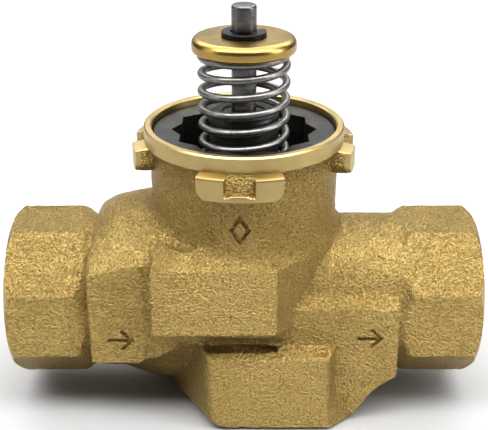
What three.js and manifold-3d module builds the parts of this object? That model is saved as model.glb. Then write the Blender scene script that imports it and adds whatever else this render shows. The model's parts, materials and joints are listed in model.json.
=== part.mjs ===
// Two-port zone valve, DN20 (G3/4 female ports), with a spring-return stem.
//
// Millimetres, +Z up. The origin is on the stem's axis, level with the bottom face.
// +X runs along the pipe from port A (-X) to port B (+X), and -Y is the front.
// Water enters at port A, passes through the cage into the seat, and leaves at port B.
// The spring holds the seal disc up against the seat, and the stem is pressed down to open.

import * as THREE from 'three';
import { mergeVertices } from 'three/addons/utils/BufferGeometryUtils.js';
import Module from 'manifold-3d';

const wasm = await Module();
wasm.setup();

// ---------------------------------------------------------------- driving dimensions

// Running gap between the stem and the cap that it carries.
const gap = 0.1;
// Facets round a small and a large turned surface.
const coarse = 24;
const fine = 48;

const run = {
  axisHeight: 21.7,
  halfLength: 48,
  octagonHalfWidth: 16.2,
  octagonInner: 33.2,
  octagonInnerMiddle: 31.6,
  endChamferRadius: 15.9,
  endChamferLength: 1.4,
  radius: 16.3,
  portRadius: 12.06,
  portMouthRadius: 13.5,
  portDepth: 16,
};

const slab = {
  halfDepth: 17.5,
  leftEnd: -31,
  rightEnd: 31.2,
  shelfHeight: 26.2,
  shelfBackHalfDepth: 14.7,
  shelfBackHeight: 28.8,
};

const shoulderSize = {
  rise: THREE.MathUtils.degToRad(11),
  archRadius: 25,
  archCentre: 17.5,
  drop: 1.5,
  bottom: 18.7,
  inner: -10,
  height: 48,
};

// Radius of the swelling under port A, at places along the run.
const swelling = [[16.3, -27], [17.4, -23], [19.3, -17.5], [20.4, -10]];

const upperBlock = { halfDepth: 21.5, left: -18, right: 6.3, bottom: 22.6, edgeTop: 37, top: 39.2 };
const lowerBlock = { halfDepth: 21, left: -7, right: 17.2, top: 17.1, edgeRound: 1.4 };

const neck = { radius: 18.85, bandRadius: 20, bandBottom: 56.5, top: 59.65 };

const lug = {
  count: 4,
  radius: 22.4,
  top: 56.5,
  bottom: 50.8,
  innerRadius: 16.9,
  topEase: 0.4,
  chamfer: 1.0,
  foot: 0.5,
  footRise: 1.0,
  halfAngle: THREE.MathUtils.degToRad(22.6),
  turn: THREE.MathUtils.degToRad(-2.1),
  notchWidth: 5.8,
  notchFloor: 52,
  notchRadius: 21.3,
};

const bore = {
  counterboreRadius: 18.475,
  counterboreBottom: 55.9,
  threadRadius: 16.6,
  threadBottom: 45,
  bonnetRadius: 15.9,
  bonnetSeat: 40,
  upperRadius: 14,
  upperBottom: 24,
  webRadius: 11.7,
  webBottom: 17.5,
  lowerRadius: 12.2,
  floor: 3,
};

const nut = {
  flangeRadius: 18.2,
  flangeBottom: 56.1,
  skirtRadius: 16.3,
  skirtBottom: 45.9,
  top: 58.15,
  socketTipRadius: 14.5,
};

const bonnet = {
  flangeRadius: 15.5,
  bottom: 41.5,
  floor: 45,
  grooveRadius: 13.7,
  grooveBottom: 42.2,
  grooveTop: 44.3,
  hubRadius: 7,
  hubTop: 62,
  stemBoreRadius: 2.9,
  glandRadius: 4.4,
  glandBottom: 55,
  bushRadius: 4.5,
  bushTop: 47,
};

const spring = {
  bottom: 46,
  top: 74.6,
  wireRadius: 0.78,
  coilRadius: 8.4,
  turns: 8.5,
  endTurns: 0.5,
  endRise: 0.5,
  startAngle: THREE.MathUtils.degToRad(191.9),
};

const stemSize = {
  radius: 2.45,
  bottom: 9.4,
  top: 83.17,
  threadRadius: 2,
  shoulder: 17.4,
  grooveRadius: 1.9,
  chamfer: 0.45,
};

const cap = {
  radius: 10.2,
  top: 77.1,
  bottom: 74.65,
  lipRadius: 9.35,
  lipBottom: 74.2,
  bossRadius: 7.1,
  bossBottom: 73.5,
};
const clip = {
  bottom: 77.15,
  thickness: 0.9,
  outerRadius: 4.4,
  innerRadius: 2.0,
  slotWidth: 3.4,
  mouthAngle: THREE.MathUtils.degToRad(50),
};

const cageSize = {
  radius: 11.4,
  innerRadius: 9.4,
  bottom: 16.9,
  sleeveBottom: 22,
  windowTop: 36,
  flangeRadius: 15.4,
  flangeBottom: 40.1,
  flangeTop: 41.4,
  grooveRadius: 10.1,
  grooveBottom: 18.4,
  grooveTop: 20.4,
  windowWidth: 11,
};

const seatSize = { inner: 7.5, outer: 9.3, bottom: 16.6, top: 19 };

// Plain rings about the stem: washers, bush, gland and disc.
const rings = {
  slipWasher: { inner: 14.7, outer: 15.7, bottom: 45.1, top: 45.75 },
  stemBush: { inner: stemSize.radius + 0.05, outer: 4.4, bottom: 41.6, top: 46.9 },
  glandRing: { inner: 2.6, outer: 4.3, bottom: 59.2, top: 61.7 },
  springSeatWasher: { inner: 7.2, outer: 10.2, bottom: 45.1, top: 45.95 },
  discWasher: { inner: 2.1, outer: 5.2, bottom: 16.6, top: 17.3 },
  sealDisc: { inner: 2.1, outer: 9.0, bottom: 14.5, top: 16.5 },
};

const oRings = {
  bonnet: { ringRadius: 14.75, sectionRadius: 1, height: 43.25 },
  cage: { ringRadius: 10.9, sectionRadius: 0.75, height: 19.4 },
  stemLower: { ringRadius: 3.42, sectionRadius: 0.86, height: 56.1 },
  stemUpper: { ringRadius: 3.42, sectionRadius: 0.86, height: 58.1 },
};

const holder = { bore: 2.1, bottom: 12.4, floor: 14.4, top: 15.7, footRadius: 8.6, footTop: 13.6 };
const holderCup = { innerRadius: 9.15, outerRadius: 10.1 };
const discNutSize = { acrossFlats: 7, boreRadius: 2.05, bottom: 9.9, top: 12.3 };

// ---------------------------------------------------------------- materials

function material(color, roughness, metalness) {
  return new THREE.MeshStandardMaterial({ color, roughness, metalness });
}

const finishes = {
  castBrass: () => material(0xa8904f, 0.55, 0.9),
  turnedBrass: () => material(0xc0a25c, 0.3, 1),
  steel: () => material(0x8a8886, 0.35, 1),
  springSteel: () => material(0x9a9a9a, 0.28, 1),
  blackSteel: () => material(0x1c1c20, 0.45, 0.6),
  blackPlastic: () => material(0x141416, 0.5, 0),
  rubber: () => material(0x101010, 0.8, 0),
  bronze: () => material(0x9c7040, 0.4, 0.9),
};

// ---------------------------------------------------------------- solids and booleans

function solidFrom(geometry) {
  const positions = geometry.clone();
  for (const name of Object.keys(positions.attributes)) {
    if (name !== 'position') {
      positions.deleteAttribute(name);
    }
  }
  const merged = mergeVertices(positions, 1e-4);
  const vertProperties = new Float32Array(merged.attributes.position.array);
  const triVerts = new Uint32Array(merged.index.array);
  return new wasm.Manifold(new wasm.Mesh({ numProp: 3, vertProperties, triVerts }));
}

function geometryFrom(solid) {
  const mesh = solid.getMesh();
  const geometry = new THREE.BufferGeometry();
  geometry.setAttribute('position', new THREE.BufferAttribute(mesh.vertProperties, 3));
  geometry.setIndex(new THREE.BufferAttribute(mesh.triVerts, 1));
  const flat = geometry.toNonIndexed();
  flat.computeVertexNormals();
  return flat;
}

function join(...solids) {
  return solids.reduce((whole, piece) => whole.add(piece));
}

function common(...solids) {
  return solids.reduce((whole, piece) => whole.intersect(piece));
}

function cut(solid, ...tools) {
  return tools.reduce((whole, tool) => whole.subtract(tool), solid);
}

// ---------------------------------------------------------------- shape helpers

function outline(points) {
  return new THREE.Shape(points.map(([across, up]) => new THREE.Vector2(across, up)));
}

function extruded(shape, depth) {
  return new THREE.ExtrudeGeometry(shape, { depth, bevelEnabled: false, steps: 1 });
}

// A plan outline (x, y) raised from one height to another.
function raised(points, bottom, top) {
  return extruded(outline(points), top - bottom).translate(0, 0, bottom);
}

// A front outline (x, z) given an equal depth in front of and behind the middle plane.
function deep(points, halfDepth) {
  return extruded(outline(points), 2 * halfDepth)
    .rotateX(Math.PI / 2)
    .translate(0, halfDepth, 0);
}

// An end-on outline (y, z) run along X.
function along(points, from, to) {
  return extruded(outline(points), to - from)
    .rotateZ(Math.PI / 2)
    .rotateY(Math.PI / 2)
    .translate(from, 0, 0);
}

// A closed (radius, height) profile turned about the Z axis.
function turned(profile, segments = fine) {
  const points = profile.map(([radius, height]) => new THREE.Vector2(radius, height));
  points.push(points[0].clone());
  return new THREE.LatheGeometry(points, segments).rotateX(Math.PI / 2);
}

// A closed (radius, distance) profile turned about the pipe's axis, distance along X.
function turnedAboutRun(profile, segments = fine) {
  return turned(profile, segments).rotateY(Math.PI / 2).translate(0, 0, run.axisHeight);
}

// A disc or cylinder about the stem's axis.
function round(radius, bottom, top, segments = fine) {
  return turned([[0, bottom], [radius, bottom], [radius, top], [0, top]], segments);
}

// A plain ring about the stem's axis.
function ring({ inner, outer, bottom, top }) {
  return turned([[inner, bottom], [outer, bottom], [outer, top], [inner, top]], coarse);
}

// A ring of round section, such as an O-ring.
function torus({ ringRadius, sectionRadius, height }, segments = coarse) {
  const sides = 6;
  const profile = [];
  for (let side = 0; side < sides; side += 1) {
    const angle = (2 * Math.PI * side) / sides;
    profile.push([
      ringRadius + sectionRadius * Math.cos(angle),
      height + sectionRadius * Math.sin(angle),
    ]);
  }
  return turned(profile, segments);
}

// A straight cored passage between two points in the middle plane.
function passage(radius, [startX, startZ], [endX, endZ]) {
  const length = Math.hypot(endX - startX, endZ - startZ);
  const slope = Math.atan2(endZ - startZ, endX - startX);
  return turned([[0, 0], [radius, 0], [radius, length], [0, length]], coarse)
    .rotateY(Math.PI / 2 - slope)
    .translate(startX, 0, startZ);
}

function polygonPoints(sides, radius, turn = 0) {
  const points = [];
  for (let corner = 0; corner < sides; corner += 1) {
    const angle = turn + (2 * Math.PI * corner) / sides;
    points.push([radius * Math.cos(angle), radius * Math.sin(angle)]);
  }
  return points;
}

function mirrored(points) {
  return [...points, ...points.slice().reverse().map(([x, y]) => [x, -y])];
}

// ---------------------------------------------------------------- the cast body

// One octagonal pipe end on the +X side, with a turned outer end and a sloping inner end.
function pipeEnd() {
  const cornerRadius = run.octagonHalfWidth / Math.cos(Math.PI / 8);
  const section = polygonPoints(8, cornerRadius, Math.PI / 8)
    .map(([across, up]) => [across, up + run.axisHeight]);
  const prism = along(section, run.octagonInnerMiddle, run.halfLength);
  const limit = turnedAboutRun([
    [0, run.octagonInnerMiddle],
    [run.octagonHalfWidth, run.octagonInnerMiddle],
    [cornerRadius, run.octagonInner],
    [cornerRadius, run.halfLength - run.endChamferLength],
    [run.endChamferRadius, run.halfLength],
    [0, run.halfLength],
  ]);
  return common(solidFrom(prism), solidFrom(limit));
}

// The shoulder over port A: an arched top that rises towards the neck.
function shoulder() {
  const { rise, archRadius, archCentre, drop, bottom, inner, height } = shoulderSize;
  const section = [[-slab.halfDepth, 0]];
  const reach = Math.asin(slab.halfDepth / archRadius);
  const steps = 12;
  for (let step = 0; step <= steps; step += 1) {
    const angle = -reach + (2 * reach * step) / steps;
    section.push([archRadius * Math.sin(angle), archCentre + archRadius * Math.cos(angle)]);
  }
  section.push([slab.halfDepth, 0]);
  const arch = along(section, 0, 40).rotateY(-rise).translate(slab.leftEnd - 2, 0, -drop);
  const corners = [[slab.leftEnd, bottom], [inner, bottom], [inner, height], [slab.leftEnd, height]];
  return common(solidFrom(arch), solidFrom(deep(corners, slab.halfDepth)));
}

// The flat-faced slab on the port A side.
function slabA() {
  return deep([
    [slab.leftEnd, 13.8],
    [-21.5, 13.8],
    [-17, 15.6],
    [-12.5, 18.7],
    [-5, 18.7],
    [-5, 34],
    [slab.leftEnd, 32],
  ], slab.halfDepth);
}

// The flat-faced slab on the port B side, with a sloping shelf along its top edge.
function slabB() {
  const face = deep([
    [-5, 16],
    [0, 0],
    [17.2, 0],
    [22.5, 1.4],
    [slab.rightEnd, 11.8],
    [slab.rightEnd, slab.shelfBackHeight],
    [-5, slab.shelfBackHeight],
  ], slab.halfDepth);
  const section = along([
    [-slab.halfDepth, 0],
    [slab.halfDepth, 0],
    [slab.halfDepth, slab.shelfHeight],
    [slab.shelfBackHalfDepth, slab.shelfBackHeight],
    [-slab.shelfBackHalfDepth, slab.shelfBackHeight],
    [-slab.halfDepth, slab.shelfHeight],
  ], -5, slab.rightEnd);
  return common(solidFrom(face), solidFrom(section));
}

// The upper chamber's block, which stands proud of the slabs in front and behind.
function upperChamberBlock() {
  const { halfDepth, left, right, bottom, edgeTop, top } = upperBlock;
  const plan = raised(mirrored([[left, halfDepth], [right, halfDepth], [19.8, 4.9]]), bottom, top);
  const section = along([
    [-halfDepth, bottom],
    [halfDepth, bottom],
    [halfDepth, edgeTop],
    [neck.radius, top],
    [-neck.radius, top],
    [-halfDepth, edgeTop],
  ], left, 20);
  return common(solidFrom(plan), solidFrom(section));
}

// The lower chamber's block, offset towards port B, with its bottom edges eased.
function lowerChamberBlock() {
  const { halfDepth, left, right, top, edgeRound } = lowerBlock;
  const plan = raised(mirrored([[right, halfDepth], [left, halfDepth], [-16.8, 5]]), 0, top);
  const section = along([
    [-halfDepth + edgeRound, 0],
    [halfDepth - edgeRound, 0],
    [halfDepth, edgeRound],
    [halfDepth, top],
    [-halfDepth, top],
    [-halfDepth, edgeRound],
  ], -20, 20);
  return common(solidFrom(plan), solidFrom(section));
}

// The swelling under port A, where the run grows into the lower chamber.
function underside() {
  const from = swelling[0][1];
  const to = swelling[swelling.length - 1][1];
  return turnedAboutRun([[0, from], ...swelling, [0, to]]);
}

// One ring of lug section, kept only where the lugs are, with a notch in each lug.
function lugs() {
  const { radius, innerRadius, top, bottom, chamfer, notchRadius, notchFloor } = lug;
  const section = solidFrom(turned([
    [innerRadius, bottom],
    [radius - lug.foot, bottom],
    [radius, bottom + lug.footRise],
    [radius, top - lug.topEase],
    [radius - chamfer, top],
    [innerRadius, top],
  ]));
  const reach = 30;
  const notchDepth = 3;
  const notchHeight = top + 1 - notchFloor;
  const pieces = [];
  for (let index = 0; index < lug.count; index += 1) {
    const centre = lug.turn - Math.PI / 2 + (2 * Math.PI * index) / lug.count;
    const wedge = raised([
      [0, 0],
      [reach * Math.cos(centre - lug.halfAngle), reach * Math.sin(centre - lug.halfAngle)],
      [reach * Math.cos(centre + lug.halfAngle), reach * Math.sin(centre + lug.halfAngle)],
    ], bottom, top);
    const notch = new THREE.BoxGeometry(notchDepth, lug.notchWidth, notchHeight)
      .translate(notchRadius + notchDepth / 2, 0, notchFloor + notchHeight / 2)
      .rotateZ(centre);
    pieces.push(cut(common(section, solidFrom(wedge)), solidFrom(notch)));
  }
  return join(...pieces);
}

// The stepped vertical bore, from the nut's counterbore down to the lower chamber's floor.
function stemBore() {
  return turned([
    [0, bore.floor],
    [bore.lowerRadius, bore.floor],
    [bore.lowerRadius, bore.webBottom],
    [bore.webRadius, bore.webBottom],
    [bore.webRadius, bore.upperBottom - 2],
    [bore.upperRadius, bore.upperBottom],
    [bore.upperRadius, bore.bonnetSeat],
    [bore.bonnetRadius, bore.bonnetSeat],
    [bore.bonnetRadius, bore.threadBottom],
    [bore.threadRadius, bore.threadBottom],
    [bore.threadRadius, bore.counterboreBottom],
    [bore.counterboreRadius, bore.counterboreBottom],
    [bore.counterboreRadius, neck.top + 1],
    [0, neck.top + 1],
  ]);
}

// One threaded port on the +X side, at its thread's minor diameter.
function port() {
  const mouth = run.portMouthRadius - run.portRadius;
  return turnedAboutRun([
    [0, run.halfLength - run.portDepth],
    [run.portRadius, run.halfLength - run.portDepth],
    [run.portRadius, run.halfLength - mouth],
    [run.portMouthRadius, run.halfLength],
    [run.portMouthRadius, run.halfLength + 1],
    [0, run.halfLength + 1],
  ]);
}

function valveBody() {
  const turnRound = (solid) => solid.mirror([1, 0, 0]);
  const end = pipeEnd();
  const barrel = turnedAboutRun([[0, -32.5], [run.radius, -32.5], [run.radius, 32.5], [0, 32.5]]);
  const neckOutside = turned([
    [0, 21],
    [neck.radius, 21],
    [neck.radius, neck.bandBottom],
    [neck.bandRadius, neck.bandBottom],
    [neck.bandRadius, neck.top - 0.3],
    [neck.bandRadius - 0.3, neck.top],
    [0, neck.top],
  ]);
  const outside = join(
    end,
    turnRound(end),
    solidFrom(barrel),
    solidFrom(neckOutside),
    solidFrom(slabA()),
    slabB(),
    shoulder(),
    upperChamberBlock(),
    lowerChamberBlock(),
    solidFrom(underside()),
    lugs(),
  );
  const portSolid = solidFrom(port());
  return geometryFrom(cut(
    outside,
    solidFrom(stemBore()),
    portSolid,
    turnRound(portSolid),
    solidFrom(passage(8, [-36, 22.5], [-4, 30])),
    solidFrom(passage(7, [36, 20.2], [4, 9.8])),
  ));
}

// ---------------------------------------------------------------- nut, bonnet and seals

// Retaining nut with a flange, a threaded skirt and a twelve-point socket.
function retainingNut() {
  const blank = solidFrom(turned([
    [0, nut.skirtBottom],
    [nut.skirtRadius - 0.5, nut.skirtBottom],
    [nut.skirtRadius, nut.skirtBottom + 0.5],
    [nut.skirtRadius, nut.flangeBottom],
    [nut.flangeRadius, nut.flangeBottom],
    [nut.flangeRadius, nut.top],
    [0, nut.top],
  ]));
  const socket = polygonPoints(6, nut.socketTipRadius, 0);
  const hexagon = solidFrom(raised(socket, nut.skirtBottom - 1, nut.top + 1));
  const turnedHexagon = solidFrom(
    raised(polygonPoints(6, nut.socketTipRadius, Math.PI / 6), nut.skirtBottom - 1, nut.top + 1),
  );
  return geometryFrom(cut(blank, hexagon, turnedHexagon));
}

// Black plastic bonnet: a sealed flange, a floor for the spring and a tall guide hub.
function bonnetShape() {
  const b = bonnet;
  return turned([
    [b.bushRadius, b.bottom],
    [b.flangeRadius, b.bottom],
    [b.flangeRadius, b.grooveBottom],
    [b.grooveRadius, b.grooveBottom],
    [b.grooveRadius, b.grooveTop],
    [b.flangeRadius, b.grooveTop],
    [b.flangeRadius, b.floor],
    [b.hubRadius, b.floor],
    [b.hubRadius, b.hubTop - 0.8],
    [b.hubRadius - 0.8, b.hubTop],
    [b.glandRadius, b.hubTop],
    [b.glandRadius, b.glandBottom],
    [b.stemBoreRadius, b.glandBottom],
    [b.stemBoreRadius, b.bushTop],
    [b.bushRadius, b.bushTop],
  ]);
}

// ---------------------------------------------------------------- stem and spring

function stemShape() {
  const s = stemSize;
  const grooveBottom = clip.bottom - 0.05;
  const grooveTop = clip.bottom + clip.thickness + 0.05;
  return turned([
    [0, s.bottom],
    [s.threadRadius - 0.4, s.bottom],
    [s.threadRadius, s.bottom + 0.4],
    [s.threadRadius, s.shoulder],
    [s.radius, s.shoulder],
    [s.radius, grooveBottom],
    [s.grooveRadius, grooveBottom],
    [s.grooveRadius, grooveTop],
    [s.radius, grooveTop],
    [s.radius, s.top - s.chamfer],
    [s.radius - s.chamfer, s.top],
    [0, s.top],
  ], coarse);
}

// Right-handed helix with closed ends.
class SpringPath extends THREE.Curve {
  getPoint(t, target = new THREE.Vector3()) {
    const { wireRadius, coilRadius, turns, endTurns, endRise, startAngle } = spring;
    const turn = t * turns;
    const low = spring.bottom + wireRadius;
    const high = spring.top - wireRadius;
    const openTurns = turns - 2 * endTurns;
    const openRise = high - low - 2 * endRise;
    let height = low + endRise * Math.min(turn / endTurns, 1);
    height += openRise * THREE.MathUtils.clamp((turn - endTurns) / openTurns, 0, 1);
    height += endRise * THREE.MathUtils.clamp((turn - endTurns - openTurns) / endTurns, 0, 1);
    const angle = 2 * Math.PI * turn + startAngle;
    return target.set(coilRadius * Math.cos(angle), coilRadius * Math.sin(angle), height);
  }
}

function returnSpring() {
  const sides = 8;
  const stepsPerTurn = 14;
  const section = outline(polygonPoints(sides, spring.wireRadius));
  return new THREE.ExtrudeGeometry(section, {
    extrudePath: new SpringPath(),
    steps: spring.turns * stepsPerTurn,
    bevelEnabled: false,
  });
}

// Brass cap with a rolled rim, which carries the top of the spring.
function springCap() {
  const inner = stemSize.radius + gap;
  return turned([
    [inner, cap.bossBottom],
    [cap.bossRadius, cap.bossBottom],
    [cap.bossRadius, cap.bottom],
    [cap.lipRadius, cap.bottom],
    [cap.lipRadius, cap.lipBottom],
    [cap.radius - 0.3, cap.lipBottom + 0.3],
    [cap.radius, cap.lipBottom + 1.0],
    [cap.radius - 0.25, cap.top - 1.1],
    [cap.radius - 0.9, cap.top - 0.35],
    [cap.radius - 1.9, cap.top],
    [inner, cap.top],
  ]);
}

// Retaining clip that snaps into the stem's groove; its mouth opens to the rear right.
function stemClip() {
  const { bottom, thickness, innerRadius, outerRadius, slotWidth } = clip;
  const blank = ring({ inner: innerRadius, outer: outerRadius, bottom, top: bottom + thickness });
  const reach = outerRadius + 1;
  const mouth = new THREE.BoxGeometry(reach, slotWidth, 3 * thickness)
    .translate(reach / 2, 0, bottom + thickness / 2)
    .rotateZ(clip.mouthAngle);
  return geometryFrom(cut(solidFrom(blank), solidFrom(mouth)));
}

// ---------------------------------------------------------------- cage, seat and disc

// Sleeve that stands between the bonnet and the seat, with four water windows.
function cage() {
  const c = cageSize;
  const sleeve = solidFrom(turned([
    [c.innerRadius, c.bottom],
    [c.radius, c.bottom],
    [c.radius, c.grooveBottom],
    [c.grooveRadius, c.grooveBottom],
    [c.grooveRadius, c.grooveTop],
    [c.radius, c.grooveTop],
    [c.radius, c.flangeBottom],
    [c.flangeRadius, c.flangeBottom],
    [c.flangeRadius, c.flangeTop],
    [c.innerRadius, c.flangeTop],
  ]));
  const height = c.windowTop - c.sleeveBottom;
  const middle = (c.windowTop + c.sleeveBottom) / 2;
  const acrossX = new THREE.BoxGeometry(40, c.windowWidth, height).translate(0, 0, middle);
  const acrossY = new THREE.BoxGeometry(c.windowWidth, 40, height).translate(0, 0, middle);
  return geometryFrom(cut(sleeve, solidFrom(acrossX), solidFrom(acrossY)));
}

function discHolder() {
  const { bore: hole, bottom, floor, top, footRadius, footTop } = holder;
  const { innerRadius, outerRadius } = holderCup;
  return turned([
    [hole, bottom],
    [footRadius, bottom],
    [outerRadius, footTop],
    [outerRadius, top],
    [innerRadius, top],
    [innerRadius, floor],
    [hole, floor],
  ], coarse);
}

function discNut() {
  const { acrossFlats, boreRadius, bottom, top } = discNutSize;
  const hexagon = polygonPoints(6, acrossFlats / Math.sqrt(3));
  const hole = round(boreRadius, bottom - 1, top + 1, coarse);
  return geometryFrom(cut(solidFrom(raised(hexagon, bottom, top)), solidFrom(hole)));
}

// ---------------------------------------------------------------- assembly

const valve = new THREE.Group();
const housing = new THREE.Group();
const stemAssembly = new THREE.Group();
valve.add(housing, stemAssembly);

function place(group, name, geometry, finish) {
  const mesh = new THREE.Mesh(geometry, finishes[finish]());
  mesh.name = name;
  group.add(mesh);
}

place(housing, 'valve_body', valveBody(), 'castBrass');
place(housing, 'retaining_nut', retainingNut(), 'steel');
place(housing, 'slip_washer', ring(rings.slipWasher), 'turnedBrass');
place(housing, 'bonnet', bonnetShape(), 'blackPlastic');
place(housing, 'bonnet_o_ring', torus(oRings.bonnet, fine), 'rubber');
place(housing, 'stem_bush', ring(rings.stemBush), 'bronze');
place(housing, 'stem_o_ring_lower', torus(oRings.stemLower), 'rubber');
place(housing, 'stem_o_ring_upper', torus(oRings.stemUpper), 'rubber');
place(housing, 'gland_ring', ring(rings.glandRing), 'blackPlastic');
place(housing, 'spring_seat_washer', ring(rings.springSeatWasher), 'steel');
place(housing, 'return_spring', returnSpring(), 'springSteel');
place(housing, 'cage', cage(), 'turnedBrass');
place(housing, 'cage_o_ring', torus(oRings.cage, fine), 'rubber');
place(housing, 'seat_ring', ring(seatSize), 'steel');

place(stemAssembly, 'stem', stemShape(), 'steel');
place(stemAssembly, 'spring_cap', springCap(), 'turnedBrass');
place(stemAssembly, 'stem_clip', stemClip(), 'blackSteel');
place(stemAssembly, 'disc_washer', ring(rings.discWasher), 'steel');
place(stemAssembly, 'seal_disc', ring(rings.sealDisc), 'rubber');
place(stemAssembly, 'disc_holder', discHolder(), 'turnedBrass');
place(stemAssembly, 'disc_nut', discNut(), 'steel');

export default valve;
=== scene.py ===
import json
import math

import bmesh
import bpy
import numpy as np
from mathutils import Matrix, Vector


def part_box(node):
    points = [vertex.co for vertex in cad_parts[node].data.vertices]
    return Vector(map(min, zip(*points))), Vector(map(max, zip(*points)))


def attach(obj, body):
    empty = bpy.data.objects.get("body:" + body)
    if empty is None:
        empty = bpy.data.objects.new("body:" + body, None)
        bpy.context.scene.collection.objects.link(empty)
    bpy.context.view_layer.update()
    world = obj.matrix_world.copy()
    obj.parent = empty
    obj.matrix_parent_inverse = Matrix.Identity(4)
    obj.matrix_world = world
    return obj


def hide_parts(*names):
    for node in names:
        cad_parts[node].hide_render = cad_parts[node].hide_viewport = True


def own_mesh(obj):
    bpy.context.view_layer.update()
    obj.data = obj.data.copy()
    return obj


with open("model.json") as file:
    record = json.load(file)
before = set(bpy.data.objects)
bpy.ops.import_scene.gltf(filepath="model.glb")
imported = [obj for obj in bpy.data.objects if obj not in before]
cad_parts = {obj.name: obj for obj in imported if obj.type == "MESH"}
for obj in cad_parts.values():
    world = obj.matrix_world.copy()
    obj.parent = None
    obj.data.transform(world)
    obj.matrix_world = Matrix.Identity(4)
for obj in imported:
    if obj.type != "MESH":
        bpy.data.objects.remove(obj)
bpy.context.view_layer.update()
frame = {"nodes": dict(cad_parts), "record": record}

import openvdb
from mathutils import Matrix, Vector

MM = 0.001

# ------------------------------------------------------------------ sizes, in millimetres


def node_box(name):
    """(lowest, highest) corner of a CAD node, in millimetres."""
    low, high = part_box(name)
    return np.array(low) / MM, np.array(high) / MM


BODY_HIGH = node_box("valve_body")[1]
NUT_LOW, NUT_HIGH = node_box("retaining_nut")
BONNET_LOW, BONNET_HIGH = node_box("bonnet")
SPRING_LOW, SPRING_HIGH = node_box("return_spring")
CAP_LOW, CAP_HIGH = node_box("spring_cap")
CLIP_LOW, CLIP_HIGH = node_box("stem_clip")
STEM_LOW, STEM_HIGH = node_box("stem")

HALF_LENGTH = BODY_HIGH[0]
RIM_TOP = BODY_HIGH[2]
RUN_HEIGHT = 21.7
RUN_RADIUS = 16.3
OCTAGON = 16.5
OCTAGON_CORNER = OCTAGON / math.cos(math.pi / 8)
NECK_RADIUS = 18.85
END_STOCK = 1.0
END_FACE_RADIUS = 16.6
END_CHAMFER_LENGTH = 2.95
END_CHAMFER_RISE = 3.5
BAND_RADIUS = 20.0
BAND_BOTTOM = 56.5
COUNTERBORE_RADIUS = 18.475
COUNTERBORE_BOTTOM = 55.9
SLAB_DEPTH = 17.5
UPPER_DEPTH = 21.5
LOWER_DEPTH = 21.0
THREAD_PITCH = 1.814
THREAD_DEPTH = 1.16
THREAD_MINOR = 12.06
PORT_DEPTH = 16.0
STROKE_WIDTH = 0.75

# ------------------------------------------------------------------ camera and stage


def add_camera():
    """A close camera in front of the valve, about 25 degrees above the horizon."""
    elevation = math.radians(24.88)
    distance = 200.925 * MM
    target = Vector((0.0, 0.0, 39.05 * MM))
    focal_length = 70.93
    data = bpy.data.cameras.new("camera")
    data.lens = focal_length
    data.clip_start = 10 * MM
    camera = bpy.data.objects.new("camera", data)
    back = Vector((0.0, -math.cos(elevation), math.sin(elevation)))
    camera.location = target + back * distance
    camera.rotation_mode = "QUATERNION"
    camera.rotation_quaternion = (-back).to_track_quat("-Z", "Y")
    bpy.context.scene.collection.objects.link(camera)
    bpy.context.scene.camera = camera


def add_area_light(name, place, target, size, power):
    """One rectangular lamp, turned toward its target."""
    data = bpy.data.lights.new(name, "AREA")
    data.shape = "RECTANGLE"
    data.size, data.size_y = size
    data.energy = power
    light = bpy.data.objects.new(name, data)
    light.location = place
    direction = Vector(target) - Vector(place)
    light.rotation_mode = "QUATERNION"
    light.rotation_quaternion = direction.to_track_quat("-Z", "Y")
    bpy.context.scene.collection.objects.link(light)


def studio_world():
    """A pale room, brightest overhead and behind, and darkest low on the front side."""
    backward_lean = 0.35
    darkest, brightest = 0.06, 0.95
    world = bpy.data.worlds.new("studio")
    world.use_nodes = True
    tree = world.node_tree
    place = tree.nodes.new("ShaderNodeTexCoord")
    toward = tree.nodes.new("ShaderNodeVectorMath")
    toward.operation = "DOT_PRODUCT"
    toward.inputs[1].default_value = (0.0, backward_lean, 1.0)
    level = tree.nodes.new("ShaderNodeMapRange")
    level.inputs["From Min"].default_value = -backward_lean
    level.inputs["From Max"].default_value = 0.8
    level.inputs["To Min"].default_value = darkest
    level.inputs["To Max"].default_value = brightest
    tree.links.new(place.outputs["Generated"], toward.inputs[0])
    tree.links.new(toward.outputs["Value"], level.inputs["Value"])
    tree.links.new(level.outputs["Result"], tree.nodes["Background"].inputs["Strength"])
    return world


# Name, place, aim and size in metres, and power in watts.
AIM = (0, 0, 0.04)
LIGHTS = (
    ("top_softbox", (0.0, 0.14, 0.65), AIM, (1.1, 1.0), 10.0),
    ("front_strip", (0.0, -0.2, 0.6), AIM, (1.3, 0.24), 9.0),
    ("rear_overhead", (0.0, 0.7, 0.62), (0, 0.701, 0), (1.8, 0.5), 8.0),
    ("back_softbox", (0.0, 0.9, 0.5), AIM, (1.8, 0.7), 2.6),
    ("left_softbox", (-0.7, -0.1, 0.3), AIM, (0.4, 0.6), 1.2),
    ("right_softbox", (0.7, -0.15, 0.3), AIM, (0.3, 0.5), 3.2),
)


def add_stage():
    """A wide pale floor just under the valve, the room and the lamps."""
    side = 3.0
    height = -0.2 * MM
    corners = [(-side, -side, height), (side, -side, height), (side, side, height),
               (-side, side, height)]
    mesh = bpy.data.meshes.new("floor")
    mesh.from_pydata(corners, [], [(0, 1, 2, 3)])
    floor = bpy.data.objects.new("floor", mesh)
    bpy.context.scene.collection.objects.link(floor)
    floor.data.materials.append(plain_material("studio_floor", (0.36, 0.36, 0.36), 0.9))
    bpy.context.scene.world = studio_world()
    for light in LIGHTS:
        add_area_light(*light)
    bpy.context.scene.view_settings.view_transform = "Standard"


# ------------------------------------------------------------------ materials


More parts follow.
